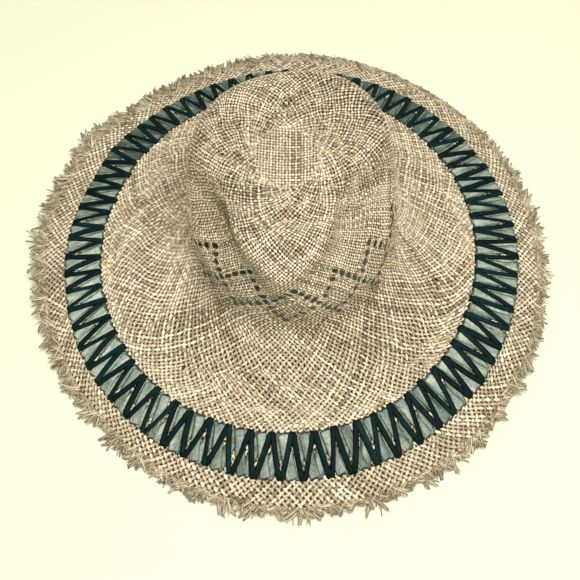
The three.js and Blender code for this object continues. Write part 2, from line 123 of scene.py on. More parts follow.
PATCH_STRAND_WIDTH = 2.4
PATCH_WANDER = 0.2

# Openwork: diamonds of small eyelets
DIAMONDS = 14
DIAMOND_STRANDS = 12
EYELET_STEP = 3  # strands from one eyelet to the next
EYELET_ROW = 136.0  # from the tip
EYELET_PUSH = 0.72  # strands beside an eyelet move this share of their pitch
EYELET_NUDGE = 0.3  # the next ones move this share of that
EYELET_CORNER = 1.25  # eyelets where diamonds meet are larger by this factor
EYELET_ZONE = (-32, 36)  # lengths from the openwork's middle row where eyelets can be
EYELET_THINNING = 0.58  # strands beside an eyelet are narrower by this share
ROW_HEIGHT = 36.7  # of the openwork's middle above the bend, as on the solid hat
ROW_BACK_RISE = 4.0
ROW_SIDE_FALL = 5.2
ROW_LEAN = 0.45  # the diamonds lean sideways
ROW_LEAN_SPREAD = 30
# The weave is moved to suit the row between these lengths, and fully so between the middle two
ROW_ZONE = (55, 110, 155, 215)

# The frayed edge, in mm unless a comment says otherwise
WEAVE_END = 0.5  # the weave ends this far past the edge ring, in ring places
RING_STEP = 17  # mm from one ring place to the next at the edge
FRAY_REACH = 8.8  # how far straws run out past the weave
FRAY_CLUMP = 3.2  # how much clumps of straws change the reach
FRAY_REACHES = (3, 28)  # least and most
FRAY_DEEPER = 13.0  # how much earlier the weave ends at the back
FRAY_DEEP_AT = 200.0  # where that is most: turn from the front, anticlockwise, in degrees
FRAY_DEEP_SPREAD = 75.0  # in degrees
FRAY_DEEP_REACH = 1.1  # straws reach out further by this share of that
FRAY_TAPER = 0.35  # share of its width that a straw loses on its way out
# Fibres that split off each strand: share of its reach, share of its width, how far they spread
FIBRES = [(1.0, 0.66, 1.0), (0.85, 0.55, 1.4), (1.0, 0.42, 1.7), (0.8, 0.34, 2.0), (0.9, 0.26, 2.3)]

# Painted shade in the crown's dents and round the front of its foot: a place on the hat in mm, its spread and
# how much
DENT_AND_FOOT_SHADE = [
    ((-53, -35, 110), 19, 0.32),
    ((46, -28, 104), 17, 0.15),
    ((-65, -79, 40), 28, 0.24),
    ((60, -87, 40), 28, 0.18),
]

# The ribbons: width, thickness, height above the brim, how much higher every other leg is,
# how deep the ends dive, and points along a leg
TURNS = 70
PALE_LEGS = {"width": 9.0, "thickness": 0.3, "lift": 1.3, "step": 0.35, "dive": 1.5, "points": 22}
DARK_LEGS = {"width": 4.6, "thickness": 0.9, "lift": 2.35, "step": 0.25, "dive": 1.9, "points": 14}
DARK_TWIST = 0.2
TURN_GAP = 0.4 / 205  # radians from a turn of the dark ribbon to the start of its legs
FOLD_SHADE = 0.9  # shade at the pale ribbon's folds
TUCK = 0.07  # share of a leg that dives at each end
# Painted shade on the pale ribbon, for how light falls on it and how it is seen round the brim: direction and
# spread in degrees, how much
PALE_RIBBON_PAINTED_SHADE = [(95, 60, 0.6), (320, 60, 0.2), (141, 13, 0.45), (268, 40, 0.25), (50, 30, 0.2)]

# Colours, as stops from dark to light
STRAND_LIGHT = (0.47, 0.15)  # middle and spread of the strands' lightness
STRAW_STOPS = [
    (0.0, (0.16, 0.12, 0.07)),
    (0.33, (0.43, 0.35, 0.22)),
    (0.62, (0.72, 0.61, 0.425)),
    (1.0, (0.95, 0.87, 0.67)),
]
BARE_STOPS = [(0.0, (0.13, 0.1, 0.06)), (0.4, (0.36, 0.29, 0.18)), (1.0, (0.74, 0.65, 0.45))]
STRAW_HUES = [(0.0, (1.0, 0.99, 0.96)), (0.6, (1.0, 0.95, 0.9)), (1.0, (0.92, 0.97, 0.84))]
PALE_STOPS = [(0.0, (0.045, 0.07, 0.05)), (0.5, (0.23, 0.27, 0.2)), (1.0, (0.5, 0.55, 0.43))]
DARK_STOPS = [(0.0, (0.0008, 0.003, 0.002)), (0.5, (0.0015, 0.01, 0.009)), (1.0, (0.004, 0.031, 0.027))]
# Colours of the painted shade beside the weave's holes and at the pale ribbon's folds
STRAW_SHADE = (0.05, 0.038, 0.02, 1)
RIBBON_SHADE = (0.012, 0.02, 0.014, 1)

# Grain: scales along a metre and across a strand, and the shares of tint, slow changes and fibres
STRAW_GRAIN = {"scales": (300.0, 12.0), "shares": (0.9, 1.2, 1.25)}
PALE_GRAIN = {"scales": (500.0, 26.0), "shares": (0.7, 1.3, 1.3)}
DARK_GRAIN = {"scales": (900.0, 6.0), "shares": (0.5, 0.8, 0.8)}
GRAIN_DEPTH = 0.0002  # of the bump, in metres

# Shade beside holes: from one height to another in metres it goes from one depth to another, and
# likewise with the distance from the tip
SHADE_BY_HEIGHT = (0.035, 0.06, 0.65, 2.4)
SHADE_FROM_TIP = (0.025, 0.06, 0.45, 1.0)
SHADE_POWER = 2.6
SHADE_NOISE = {"scale": 220.0, "detail": 3.0, "roughness": 0.7}

# The studio: lights as name, place, size and power, all in metres and watts
LIGHTS = [("key", (0.26, -0.38, 2.17), 1.9, 99.0), ("side", (-1.3, -1.0, 1.2), 0.8, 1.0)]
FLOOR_COLOUR = (0.66, 0.655, 0.475)
FLOOR_HALF = 6.0
FLOOR_GAP = 0.0002
SKY_COLOUR = (1.0, 0.99, 0.93, 1)
SKY_STRENGTH = 0.05
CAMERA_PLACE = (0.0033, -0.3816, 0.5930)
CAMERA_AIM = (0.0011, -0.0520, 0.0142)
CAMERA_LENS = 47.17  # mm


def cubic(p0, p1, p2, p3, f):
    return p1 + 0.5 * f * (p2 - p0 + f * (2 * p0 - 5 * p1 + 4 * p2 - p3 + f * (3 * (p1 - p2) + p3 - p0)))


def waves(table, direction):
    return sum(c * np.cos(n * direction) + s * np.sin(n * direction) for n, c, s in table)


def crown_value(name, direction):
    column = CROWN_ROWS[:, CROWN_COLUMNS.index(name)]
    n = len(column)
    u = np.mod(direction / TAU * n, n)
    i = np.floor(u).astype(int)
    return cubic(column[(i - 1) % n], column[i % n], column[(i + 1) % n], column[(i + 2) % n], u - i)


def foot_radius(direction):
    across, along = HALF_LENGTH * np.cos(direction), HALF_WIDTH * np.sin(direction)
    return HALF_WIDTH * HALF_LENGTH / np.hypot(across, along)


def ribbon_line_radius(direction):
    return RIBBON_LINE_RADIUS * (1 + waves(RIBBON_LINE_WAVES, direction))


def brim_height(ring, direction):
    droop, share = BRIM_RINGS[ring]
    wave = waves(BRIM_HEIGHT_WAVES, direction)
    for at, spread, rise in CREASES:
        away = np.angle(np.exp(1j * (direction - math.radians(at))))
        wave = wave + rise * np.exp(-((away / math.radians(spread)) ** 2))
    return RIBBON_LINE_HEIGHT + BEND_RISE * (1 - droop + wave * share)


def shape_rings(direction):
    """The rings that shape the hat, tip first, as x, y, z in mm: one more at each end for the curve."""
    bend = RIBBON_LINE_HEIGHT + BEND_RISE
    zero = np.zeros_like(direction)
    foot = foot_radius(direction)
    crest = crown_value("crest_r", direction) * HALF_WIDTH
    opposite = crown_value("crest_r", direction + math.pi) * HALF_WIDTH
    line = ribbon_line_radius(direction)
    inner = line - RIBBON_BAND * (1 + waves(BAND_WAVES, direction))
    tip = TIP_RADIUS * (1 + waves(TIP_WAVES, direction))

    def high(name, turn=0.0):
        return bend + crown_value(name, direction + turn) * CROWN_HEIGHT

    rows = [
        (TIP_CENTRE, -opposite * PLATEAU_AT, high("plateau_z", math.pi)),
        (TIP_CENTRE, zero, zero + bend + TIP_DIP * CROWN_HEIGHT),
        (TIP_CENTRE, crest * PLATEAU_AT, high("plateau_z")),
        (TIP_CENTRE, crest, high("crest_z")),
        (TIP_CENTRE, crown_value("shoulder_r", direction) * HALF_WIDTH, high("shoulder_z")),
        (FOOT_CENTRE, foot * crown_value("wall", direction), high("wall_z")),
        (FOOT_CENTRE, foot, zero + bend + FOOT_RINGS[0] * CROWN_HEIGHT),
        (FOOT_CENTRE, foot + FOOT_FILLET / 3, zero + bend + FOOT_RINGS[1] * CROWN_HEIGHT),
        (FOOT_CENTRE, foot + FOOT_FILLET, zero + bend),
        ((0, 0), (foot + FOOT_FILLET + inner) / 2, brim_height("middle", direction)),
        ((0, 0), inner, brim_height("inner", direction)),
        ((0, 0), line, brim_height("outer", direction)),
        ((0, 0), tip - FRAY, brim_height("edge", direction)),
        ((0, 0), tip, brim_height("end", direction)),
    ]
    out = np.array([[c[0] + r * np.cos(direction), c[1] + r * np.sin(direction), z] for c, r, z in rows])
    return np.concatenate([out, [2 * out[-1] - out[-2]]])


def surface(direction, along):
    """Points of the hat's middle surface in mm, shape (n, 3)."""
    direction, along = np.broadcast_arrays(np.asarray(direction, float), np.asarray(along, float))
    rings = shape_rings(direction)
    i = np.clip(np.floor(along).astype(int), 0, END - 1)
    near = [np.take_along_axis(rings, (i + k)[None, None], 0)[0] for k in range(4)]
    return np.moveaxis(cubic(*near, along - i), 0, -1)


def surface_normal(direction, along):
    out = surface(direction, along + 0.02) - surface(direction, along - 0.02)
    round_ = surface(direction + 0.01, along) - surface(direction - 0.01, along)
    n = np.cross(out, round_)
    return n / np.linalg.norm(n, axis=-1, keepdims=True)


def to_frame(points):
    """Hat millimetres to metres in the frame."""
    moved = np.array(points, float)
    moved[..., 0] -= BOX_CENTRE[0]
    moved[..., 1] -= BOX_CENTRE[1]
    return moved / 1000


# The weave follows lengths along the surface: a turn round the hat and a length from the tip.
# Tables hold the point, the normal and the ring place for each.
DIRECTIONS = np.linspace(0, TAU, 361)
PLACES = np.arange(0, 12.96, 0.04)
TABLE_LENGTHS = np.arange(0, 331, 1.0)
TABLE_TURNS = 720


def measure_surface():
    """The tables, each with a row per mm from the tip and a column per step round the hat."""
    grid = surface(DIRECTIONS[:, None], PLACES[None, :])
    steps = np.linalg.norm(np.diff(grid, axis=1), axis=2)
    lengths = np.concatenate([np.zeros((len(DIRECTIONS), 1)), np.cumsum(steps, axis=1)], axis=1)
    place = np.array([np.interp(TABLE_LENGTHS, lengths[k], PLACES) for k in range(len(DIRECTIONS))])
    turns = np.arange(TABLE_TURNS) / TABLE_TURNS
    start = -math.pi / 2
    directions = np.zeros((len(TABLE_LENGTHS), TABLE_TURNS))
    places = np.zeros_like(directions)
    perimeters = np.zeros(len(TABLE_LENGTHS))
    fine = np.linspace(start, start + TAU, 721)
    for n in range(len(TABLE_LENGTHS)):
        at = np.interp(np.mod(fine, TAU), DIRECTIONS, place[:, n])
        ring = surface(fine, at)
        run = np.concatenate([[0], np.cumsum(np.linalg.norm(np.diff(ring, axis=0), axis=1))])
        perimeters[n] = run[-1]
        if run[-1] < 1e-6:
            directions[n] = start + turns * TAU
        else:
            directions[n] = np.interp(turns * run[-1], run, fine)
        places[n] = np.interp(np.mod(directions[n], TAU), DIRECTIONS, place[:, n])
    points = surface(directions, places)
    out = np.gradient(points, axis=0)
    wrapped = np.concatenate([points[:, -1:], points, points[:, :1]], axis=1)
    round_ = wrapped[:, 2:] - wrapped[:, :-2]
    normals = np.cross(out, round_)
    size = np.linalg.norm(normals, axis=2, keepdims=True)
    normals = normals / np.maximum(size, 1e-9)
    normals[:3] = [0, 0, 1]
    return points, normals, places, perimeters, place


POINTS, NORMALS, RING_PLACES, PERIMETERS, PLACE_AT = measure_surface()


def lookup(table, turn, length):
    """Value of a table at a turn in radians from the front and a length in mm from the tip."""
    u = np.mod(turn / TAU, 1) * TABLE_TURNS
    v = np.clip(length, 0, len(TABLE_LENGTHS) - 1.001)
    i, j = np.floor(v).astype(int), np.floor(u).astype(int) % TABLE_TURNS
    k = (j + 1) % TABLE_TURNS
    fv, fu = v - i, u - np.floor(u)
    if table.ndim == 3:
        fv, fu = fv[..., None], fu[..., None]
    low = table[i, j] * (1 - fu) + table[i, k] * fu
    high = table[i + 1, j] * (1 - fu) + table[i + 1, k] * fu
    return low * (1 - fv) + high * fv


def spin_table():
    """How far round a strand has run at each length: it crosses the surface at about 45 degrees."""
    low, high = SLANT_ZONE
    slope = np.where((TABLE_LENGTHS > low) & (TABLE_LENGTHS < high), SLANT, 1.0)
    padded = np.pad(slope, SLANT_BLEND // 2, mode="edge")
    slope = np.convolve(padded, np.ones(SLANT_BLEND) / SLANT_BLEND, mode="valid")
    rate = slope * TAU / np.maximum(PERIMETERS, 20)
    return np.concatenate([[0], np.cumsum((rate[1:] + rate[:-1]) / 2)])


SPIN = spin_table()
LEVELS = np.arange(STRAND_ROWS[0][0], len(TABLE_LENGTHS) - 1, 0.5)
LEVEL_SPIN = np.interp(LEVELS, TABLE_LENGTHS, SPIN)


def room(starts, level):
    """Share of the ring that each strand takes at a length."""
    starts = np.asarray(starts, float)
    joined = np.clip((level - starts) / STRAND_JOINS_OVER, 0, 1)
    share = STRAND_FIRST_ROOM + (1 - STRAND_FIRST_ROOM) * joined
    return np.where(level >= starts, share, 0.0)


def lay_strands():
    """Start lengths of the strands of both directions in order round the hat, and each ring's shift."""
    families = {1: [0.0] * STRAND_ROWS[0][1], -1: [0.0] * STRAND_ROWS[0][1]}
    shifts = [0]
    for level, count in STRAND_ROWS[1:]:
        new = count - len(families[1])
        spin = np.interp(level, TABLE_LENGTHS, SPIN)
        at = (np.arange(new) + rng.uniform(0.2, 0.8, new) + rng.uniform()) * TAU / new
        firsts = {}
        for sign, starts in families.items():
            w = room(starts, level)
            p = (np.cumsum(w) - w / 2) / w.sum() * TAU
            firsts[sign] = p[0] + sign * spin
            places = np.searchsorted(p, np.mod(at - sign * spin, TAU))
            places[places == 0] = len(starts)
            for place in sorted(places, reverse=True):
                starts.insert(int(place), float(level))
        gap = (firsts[-1] - firsts[1]) % TAU
        shifts.append(shifts[-1] + int(np.sum(np.mod(at - firsts[1], TAU) < gap)))
    return families, shifts


def positions(starts):
    """Place of each strand round the hat at every level, without its spin."""
    w = np.array([room(starts, level) for level in LEVELS]).T
    return (np.cumsum(w, axis=0) - w / 2) / w.sum(axis=0) * TAU


def ranks(starts):
    """Order of each strand among those that have joined, for each ring of new strands."""
    starts = np.array(starts)
    return np.array([np.cumsum(starts <= level) - 1 for level, _ in STRAND_ROWS])


def find_crossings():
    """Where strands cross: both strands' numbers, the length, the turn and which one is on top."""
    families, shifts = lay_strands()
    pa, pb = positions(families[1]), positions(families[-1])
    sa, sb = np.array(families[1]), np.array(families[-1])
    ra, rb = ranks(sa), ranks(sb)
    rings = np.array([level for level, _ in STRAND_ROWS])
    found = []
    for i in range(len(sa)):
        apart = (pa[i][None] - pb + 2 * LEVEL_SPIN) / TAU
        whole = np.floor(apart)
        k, n = np.nonzero(np.diff(whole, axis=1) != 0)
        d0, d1 = apart[k, n], apart[k, n + 1]
        part = (np.maximum(whole[k, n], whole[k, n + 1]) - d0) / (d1 - d0)
        length = LEVELS[n] + part * (LEVELS[1] - LEVELS[0])
        turn = pa[i][n] * (1 - part) + pa[i][n + 1] * part + np.interp(length, TABLE_LENGTHS, SPIN)
        ok = (length >= sa[i]) & (length >= sb[k])
        k, length, turn = k[ok], length[ok], turn[ok]
        stage = np.searchsorted(rings, length, side="right") - 1
        over = (ra[stage, i] + rb[stage, k] + np.array(shifts)[stage]) % 2
        found.append(np.stack([np.full(len(k), i), k, length, turn, 1 - 2 * over]))
    a, b, length, turn, up = np.concatenate(found, axis=1)
    return a.astype(int), b.astype(int), length, turn, up


def row_table():
    """How far the openwork's middle row lies from its usual length, for each turn round the hat."""
    lengths = np.arange(105, 170)
    direction = np.arctan2(POINTS[lengths, :, 1] - FOOT_CENTRE[1], POINTS[lengths, :, 0] - FOOT_CENTRE[0])
    want = ROW_HEIGHT + ROW_BACK_RISE * np.sin(direction) - ROW_SIDE_FALL * np.cos(2 * direction)
    above = POINTS[lengths, :, 2] - RIBBON_LINE_HEIGHT - BEND_RISE - want
    row = lengths[np.argmin(np.abs(above), axis=0)].astype(float)
    reach = 30
    ring = np.concatenate([row[-reach:], row, row[:reach]])
    return np.convolve(ring, np.ones(2 * reach + 1) / (2 * reach + 1), mode="valid") - EYELET_ROW


ROW_SHIFT = row_table()


def settle(length, turn):
    """Moves the weave so that its openwork lies in the row, and leans."""
    near = np.interp(length, ROW_ZONE, (0, 1, 1, 0))
    near = near * near * (3 - 2 * near)
    place = np.mod(turn / TAU, 1) * TABLE_TURNS
    shift = np.interp(place, np.arange(TABLE_TURNS + 1), np.append(ROW_SHIFT, ROW_SHIFT[0]))
    away = length - EYELET_ROW
    lean = -ROW_LEAN * away * np.exp(-((away / ROW_LEAN_SPREAD) ** 2))
    ring = np.interp(length, TABLE_LENGTHS, PERIMETERS) / TAU
    return length + shift * near, turn + lean / ring


def mark_eyelets():
    """For each cell between strands, how far the strands of each direction move to open an eyelet there."""
    total = DIAMONDS * DIAMOND_STRANDS
    half = DIAMOND_STRANDS // 2
    level = 2 * round(np.interp(EYELET_ROW, TABLE_LENGTHS, SPIN) * total / math.pi / 2)
    push = np.zeros((2, total, total))
    for d in range(DIAMONDS):
        a, b = DIAMOND_STRANDS * d - level // 2, DIAMOND_STRANDS * d + level // 2
        for step in range(-half, half + 1, EYELET_STEP):
            for side in (-half, half):
                corner = abs(step) == half
                node = corner and step == side
                size = EYELET_PUSH * (EYELET_CORNER if node else 1)
                for family, i, j in ((0, a + step, b + side), (1, a + side, b + step)):
                    place = (i % total, j % total)
                    push[(family, *place)] = max(push[(family, *place)], size)
                    push[(1 - family, *place)] = max(push[(1 - family, *place)], size * 0.85)
    return push


def open_eyelets(length, turn):
    """Moves crossings away from the eyelets, and tells how far each one was moved."""
    push = mark_eyelets()
    total = push.shape[1]
    cell = TAU / total
    zone = (length > EYELET_ROW + EYELET_ZONE[0]) & (length < EYELET_ROW + EYELET_ZONE[1])
    spin = np.interp(length, TABLE_LENGTHS, SPIN)
    ua, ub = (turn - spin) / cell, (turn + spin) / cell
    a, b = np.floor(ua).astype(int), np.floor(ub).astype(int)
    move_a, move_b = np.zeros_like(ua), np.zeros_like(ub)
    for i in (-1, 0, 1, 2):
        for j in (-1, 0, 1, 2):
            cells = ((a + i) % total, (b + j) % total)
            share = zone * (EYELET_NUDGE if i in (-1, 2) else 1) * (EYELET_NUDGE if j in (-1, 2) else 1)
            move_a -= share * push[(0, *cells)] * (1 if i > 0 else -1)
            move_b -= share * push[(1, *cells)] * (1 if j > 0 else -1)
    rate = np.interp(length, TABLE_LENGTHS, np.gradient(SPIN))
    pushed = np.maximum(np.abs(move_a), np.abs(move_b))
    return length + (move_b - move_a) / 2 * cell / rate, turn + (move_a + move_b) / 2 * cell, pushed


def drift(length, turn, seed, size):
    """Slow wander of the strands, as handwork leaves it."""
    r = np.random.default_rng(seed)
    total = np.zeros_like(length)
    for _ in range(14):
        times, step = r.integers(3, 30), r.uniform(-0.22, 0.22)
        total += np.sin(times * turn + step * length + r.uniform(0, TAU))
    return total * size / math.sqrt(14)


# Cross-sections of a strand, a fibre and a ribbon: across and up, as shares of width and thickness
SECTION = np.array([(-0.5, 0.0), (-0.05, 0.5), (0.5, 0.0), (0.05, -0.5)])
FIBRE_SECTION = np.array([(-0.5, 0.0), (0.0, 0.5), (0.5, 0.0), (0.0, -0.5)])
RIBBON_SECTION = np.array([(-0.5, -0.2), (-0.3, 0.35), (0.0, 0.5), (0.3, 0.35), (0.5, -0.2), (0.0, -0.4)])


class Strands:
    """Gathers strands into one mesh, with a tint for each and strips for the baked map."""

    def __init__(self):
        self.verts, self.quads, self.tints, self.grain, self.rows = [], [], [], [], []
        self.count = 0

    def add(self, points, normals, width, thickness, tint, section=SECTION, over=0.0):
        """One strand along the points; over is 1 on top of a crossing and -1 under it."""
        n, m = len(points), len(section)
        if n < 2:
            return
        along = np.gradient(points, axis=0)
        side = np.cross(normals, along)
        side /= np.maximum(np.linalg.norm(side, axis=1, keepdims=True), 1e-9)
        width = np.broadcast_to(width, (n,))[:, None, None]
        thickness = np.broadcast_to(thickness, (n,))[:, None, None]
        across, up = section[None, :, :1], section[None, :, 1:]
        ring = points[:, None] + side[:, None] * across * width + normals[:, None] * up * thickness
        base = self.count
        index = base + np.arange(n * m).reshape(n, m)
        low, high = index[:-1], index[1:]
        body = np.stack([low, np.roll(low, -1, 1), np.roll(high, -1, 1), high], axis=-1).reshape(-1, 4)
        caps = []
        for k in range(1, m - 2, 2):
            caps.append(index[0][[0, k + 2, k + 1, k]])
            caps.append(index[-1][[0, k, k + 1, k + 2]])
        self.verts.append(ring.reshape(-1, 3))
        self.quads.append(np.concatenate([body, np.array(caps)]))
        run = np.concatenate([[0], np.cumsum(np.linalg.norm(np.diff(points, axis=0), axis=1))])
        over = np.repeat(np.broadcast_to(over, (n,)) * 0.5 + 0.5, m)
        tint = np.repeat(np.broadcast_to(tint, (n, 3)), m, axis=0)
        self.tints.append(np.column_stack([tint, over]))
        u = np.repeat(run, m)
        v = np.tile(np.arange(m) / m, n)
        self.grain.append(np.stack([u, v], axis=1))
        self.rows.append((base, n, m, run[-1]))
        self.count += n * m

    def build(self, name, node, slot, material):
        """Makes the mesh, its tint and its two maps, and puts it in the place of a solid."""
        verts = to_frame(np.concatenate(self.verts))
        verts[:, 2] = np.maximum(verts[:, 2], 0.0001)
        quads = np.concatenate(self.quads)
        mesh = bpy.data.meshes.new(name)
        mesh.vertices.add(len(verts))
        mesh.vertices.foreach_set("co", verts.astype(np.float32).ravel())
        mesh.loops.add(quads.size)
        mesh.loops.foreach_set("vertex_index", quads.astype(np.int32).ravel())
        mesh.polygons.add(len(quads))
        mesh.polygons.foreach_set("loop_start", np.arange(0, quads.size, 4, dtype=np.int32))
        mesh.polygons.foreach_set("use_smooth", np.ones(len(quads), bool))
        mesh.update(calc_edges=True)
        tint = mesh.attributes.new("tint", "FLOAT_COLOR", "POINT")
        tint.data.foreach_set("color", np.concatenate(self.tints).astype(np.float32).ravel())
        grain = np.concatenate(self.grain)
        flat = quads.ravel()
        self.write_map(mesh, "grain", grain[flat] * [0.001, 1.0])
        bake = np.zeros((len(verts), 2))
        longest = max(row[3] for row in self.rows)
        for r, (base, n, m, run) in enumerate(self.rows):
            part = grain[base : base + n * m]
            bake[base : base + n * m, 0] = part[:, 0] / longest * 0.98 + 0.01
            bake[base : base + n * m, 1] = (r + 0.1 + 0.8 * np.abs(2 * part[:, 1] - 1)) / len(self.rows)
        self.write_map(mesh, "OFBake", bake[flat])
        obj = bpy.data.objects.new(name, mesh)
        bpy.context.scene.collection.objects.link(obj)
        mesh.materials.append(material)
        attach(obj, "root")
        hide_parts(node)

    @staticmethod
    def write_map(mesh, name, values):
        layer = mesh.uv_layers.new(name=name)
        layer.data.foreach_set("uv", values.astype(np.float32).ravel())


def strand_tint():
    """Lightness, hue and grain of one straw, each 0..1."""
    light = np.clip(rng.normal(*STRAND_LIGHT), 0.02, 0.98)
    hue = rng.uniform() ** 2
    return np.array([light, hue, rng.uniform()])


def dent_and_foot_shade(points):
    """How much painted shade darkens the straw at each point: in the crown's dents and at the front of its
    foot.
    """
    total = np.zeros(len(points))
    for place, spread, share in DENT_AND_FOOT_SHADE:
        away = np.linalg.norm(points - place, axis=1)
        total += share * np.exp(-((away / spread) ** 2))
    return total


def fray_depth(turn):
    """How many mm deeper the edge is frayed: most at the back."""
    away = np.angle(np.exp(1j * (np.asarray(turn) - math.radians(FRAY_DEEP_AT))))
    return FRAY_DEEPER * np.exp(-((away / math.radians(FRAY_DEEP_SPREAD)) ** 2))


def strand_widths(pitch, on_crown, pushed):
    """Width of one strand at each crossing: uneven, and narrower beside an eyelet."""
    size = rng.uniform(0.86, 1.14)
    width = np.clip(STRAND_WIDTH_SHARE * pitch + STRAND_WIDTH_BASE, *STRAND_WIDTHS)
    width = width + CROWN_EXTRA * on_crown
    width = width * size * rng.uniform(0.87, 1.12, len(pitch))
    return width * (1 - EYELET_THINNING * np.clip(pushed * 2.5, 0, 1))


def weave(material):
    """Lays every woven strand and returns the ends that the frayed edge starts from."""
    a, b, length, turn, up = find_crossings()
    jitter = rng.normal(0, STRAND_JITTER, len(length))
    length = length + drift(length, turn, 11, STRAND_DRIFT) + jitter
    ring = np.interp(length, TABLE_LENGTHS, PERIMETERS) / TAU
    jitter = rng.normal(0, STRAND_JITTER, len(turn))
    turn = turn + (drift(length, turn, 12, STRAND_DRIFT) + jitter) / ring
    length, turn, pushed = open_eyelets(length, turn)
    length, turn = settle(length, turn)
    place = lookup(RING_PLACES, turn, length)
    count = np.interp(length, [r[0] for r in STRAND_ROWS], [r[1] for r in STRAND_ROWS])
    pitch = np.interp(length, TABLE_LENGTHS, PERIMETERS) / count / math.sqrt(2)
    pieces = {}
    ends = []
    for family, strand_of in ((1, a), (-1, b)):
        for strand in range(strand_of.max() + 1):
            mine = np.nonzero(strand_of == strand)[0]
            mine = mine[np.argsort(length[mine])]
            end = EDGE + WEAVE_END - fray_depth(turn[mine]) / RING_STEP
            stop = np.nonzero(place[mine] > end)[0]
            if len(stop):
                mine = mine[: stop[0]]
            if len(mine) < 3:
                continue
            swing = family * up[mine] * STRAND_SWING
            normal = lookup(NORMALS, turn[mine], length[mine])
            normal /= np.linalg.norm(normal, axis=1, keepdims=True)
            point = lookup(POINTS, turn[mine], length[mine]) + normal * swing[:, None]
            width = strand_widths(pitch[mine], place[mine] < BEND, pushed[mine])
            tint = strand_tint()
            tints = np.tile(tint, (len(mine), 1))
            # painted shade in the crown's dents and round its foot lowers each strand's lightness
            tints[:, 0] -= dent_and_foot_shade(point)
            split = np.nonzero(place[mine] > BEND)[0]
            cut = split[0] if len(split) else len(mine)
            half = "left" if family > 0 else "right"
            for name, part in (("crown", slice(0, cut + 1)), ("brim", slice(max(cut, 0), None))):
                key = f"{name}_{half}"
                pieces.setdefault(key, Strands())
                if len(mine[part]) >= 2:
                    over = np.sign(swing[part])
                    strip = (point[part], normal[part], width[part], STRAND_THICKNESS, tints[part])
                    pieces[key].add(*strip, over=over)
            if place[mine[-1]] > OUTER - 0.2:
                ends.append((family, turn[mine[-1]], length[mine[-1]], width[-1], tint))
    weave_patch(pieces["crown_left"], pieces["crown_right"])
    for half in ("left", "right"):
        pieces[f"crown_{half}"].build(f"woven_crown_{half}", "crown", "straw", material)
        pieces[f"brim_{half}"].build(f"woven_brim_{half}", "brim", "straw", material)
    return ends


def patch_points(x, y):
    """Points and normals near the tip for offsets in mm from it."""
    r = np.hypot(x, y)
    direction = np.mod(np.arctan2(y, x), TAU)
    column = np.clip(r, 0, len(TABLE_LENGTHS) - 2)
    k = direction / TAU * 360
    i, j = np.floor(k).astype(int) % 360, np.floor(column).astype(int)
    along = PLACE_AT[i, j] * (1 - column + j) + PLACE_AT[i, j + 1] * (column - j)
    return surface(direction, along), np.tile([0.0, 0.0, 1.0], (len(x), 1))


def weave_patch(first, second):
    """The square start of the weave at the tip, with a cross where its quarters meet."""
    lines = np.arange(-PATCH_LINES, PATCH_LINES + 1) * PATCH_PITCH
    lines = lines + np.sign(lines) * 0.2  # the middle strands stand a little apart
    for across, target, sign in ((False, first, 1), (True, second, -1)):
        for n, line in enumerate(lines):
            reach = math.sqrt(max(PATCH_HALF**2 - line**2, 16)) * rng.uniform(0.95, 1.08)
            at = np.concatenate([[-reach], lines[np.abs(lines) < reach - 0.6], [reach]])
            wander = rng.normal(0, PATCH_WANDER, len(at))
            x, y = (line + wander, at) if across else (at, line + wander)
            steps = np.searchsorted(lines, at)
            up = sign * (1 - 2 * ((n + steps) % 2))
            point, normal = patch_points(np.asarray(x, float), np.asarray(y, float))
            point = point + normal * (up * STRAND_SWING)[:, None]
            width = PATCH_STRAND_WIDTH * rng.uniform(0.9, 1.08)
            target.add(point, normal, width, STRAND_THICKNESS, strand_tint(), over=up)


def ripple(turn, seed):
    """Smooth waves round the hat, about -1..1, that gather the frayed straws in clumps."""
    r = np.random.default_rng(seed)
    total = np.zeros_like(turn)
    for times in r.integers(18, 110, 10):
        total += np.sin(times * turn + r.uniform(0, TAU))
    return total / 2.2


